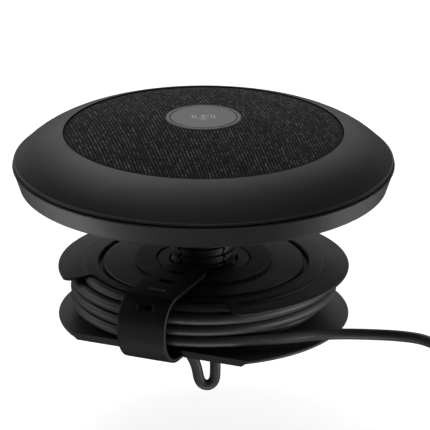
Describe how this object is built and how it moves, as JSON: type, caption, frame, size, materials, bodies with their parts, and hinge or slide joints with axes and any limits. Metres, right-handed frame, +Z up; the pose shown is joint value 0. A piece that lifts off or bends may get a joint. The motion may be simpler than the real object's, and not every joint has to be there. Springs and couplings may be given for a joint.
{
  "type": "conference microphone pod with through-table mount",
  "caption": "Round fabric-topped conference microphone pod with a mute key, seated in a domed table ring on a threaded stem, with a screw-up under-table clamp that is also a cable reel.",
  "frame": {"origin": "centre of the anti-slip ring's lower face, which is the table-top plane, on the stem axis", "axes": "+Z up along the stem axis; -Y towards the side that carries the cable strap"},
  "size_m": [0.2113, 0.14, 0.1072],
  "materials": {
    "ring_black": "fine matt texture",
    "stem_black": "satin",
    "insert_brass": "machined",
    "screw_steel": "black zinc",
    "grip_rubber": "matt",
    "pod_black": "matt",
    "fabric_melange": "woven melange",
    "key_grey": "satin",
    "guide_grey": "frosted",
    "symbol_lens": "frosted",
    "board_green": "solder mask",
    "chip_black": "moulded",
    "can_tin": "tin plated",
    "led_white": "clear",
    "mic_gold": "plated",
    "gasket_foam": "closed-cell foam",
    "washer_black": "black",
    "reel_black": "satin",
    "cable_jacket": "satin jacket",
    "strap_rubber": "satin",
    "plug_metal": "nickel plated"
  },
  "bodies": {
    "mount": {"base_ring": "ring_black", "threaded_inserts": "insert_brass", "anti_slip_ring": "grip_rubber", "trim_ring": "ring_black", "threaded_stem": "stem_black", "stem_screws": "screw_steel"},
    "pod": {"pod_housing": "pod_black", "pod_foot_ring": "grip_rubber", "housing_screws": "screw_steel", "pod_top_shell": "pod_black", "fabric_cover": "fabric_melange", "light_guide": "guide_grey", "main_board": "board_green", "status_leds": "led_white", "microphones": "mic_gold", "mic_gaskets": "gasket_foam", "audio_processor": "chip_black", "shield_can": "can_tin", "key_switch": "chip_black", "board_connector": "chip_black", "strain_relief": "grip_rubber", "pod_cable": "cable_jacket"},
    "mute_key": {"mute_key": "key_grey", "mute_symbol_lens": "symbol_lens", "switch_plunger": "chip_black"},
    "clamp_washer": {"clamp_washer": "washer_black"},
    "reel": {"clamp_nut": "reel_black", "grip_pad": "grip_rubber", "reel_upper_flange": "reel_black", "reel_lower_flange": "reel_black", "reel_screws": "screw_steel", "cable_pack": "cable_jacket", "service_loop": "cable_jacket", "cable_tail": "cable_jacket", "plug_boot": "reel_black", "plug_shell": "plug_metal", "plug_tongue": "chip_black", "strap_anchor": "strap_rubber", "strap_rivets": "reel_black"},
    "strap": {"strap": "strap_rubber", "catch_bar": "reel_black"}
  },
  "joints": [
    {"name": "pod_lift", "type": "slide", "parent": "mount", "child": "pod", "axis": [0, 0, 1], "range_m": [0, 0.026]},
    {"name": "mute_press", "type": "slide", "parent": "pod", "child": "mute_key", "axis": [0, 0, -1], "range_m": [0, 0.0006], "stiffness_N_per_m": 120, "springref_m": -0.002},
    {"name": "clamp_travel", "type": "slide", "parent": "mount", "child": "clamp_washer", "axis": [0, 0, 1], "range_m": [-0.00451, 0.00601]},
    {"name": "reel_turn", "type": "hinge", "parent": "clamp_washer", "child": "reel", "pos_m": [0, 0, -0.03], "axis": [0, 0, 1], "range_deg": [-540, 720]},
    {"name": "strap_swing", "type": "hinge", "parent": "reel", "child": "strap", "pos_m": [0, -0.0426, -0.0516], "axis": [1, 0, 0], "range_deg": [0, 110]}
  ],
  "couplings": [
    {"joint": "clamp_travel", "follows": "reel_turn", "m_per_rad": 0.00047746}
  ]
}
